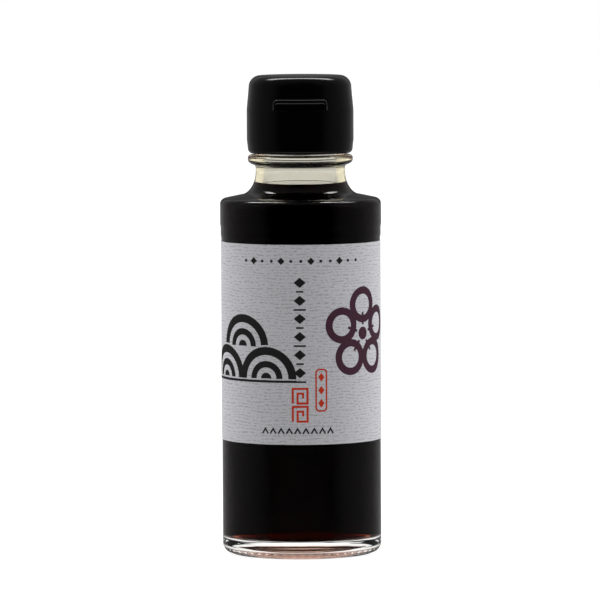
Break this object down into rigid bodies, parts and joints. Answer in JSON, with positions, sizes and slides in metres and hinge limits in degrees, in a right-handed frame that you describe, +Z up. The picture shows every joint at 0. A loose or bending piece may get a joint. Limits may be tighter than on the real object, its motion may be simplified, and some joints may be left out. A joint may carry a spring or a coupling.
{
  "type": "soy sauce bottle",
  "caption": "Round clear glass bottle of dark soy sauce with a paper label round its body and a shut black flip-top cap, for table use.",
  "frame": {"origin": "middle of the flat ring that the bottle stands on, at the surface below it", "axes": "+Z up along the bottle's axis; -Y towards the front, where the cap's thumb recess and the middle of the label are; +X to the right seen from the front"},
  "size_m": [0.0486, 0.0486, 0.1443],
  "materials": {
    "clear_glass": "polished",
    "soy_sauce": "gloss",
    "label_paper": "matte",
    "cap_plastic": "gloss"
  },
  "bodies": {
    "root": {"glass_bottle": "clear_glass", "soy_sauce": "soy_sauce", "label": "label_paper", "cap_collar": "cap_plastic", "cap_lid": "cap_plastic", "cap_hinge": "cap_plastic"}
  },
  "joints": []
}
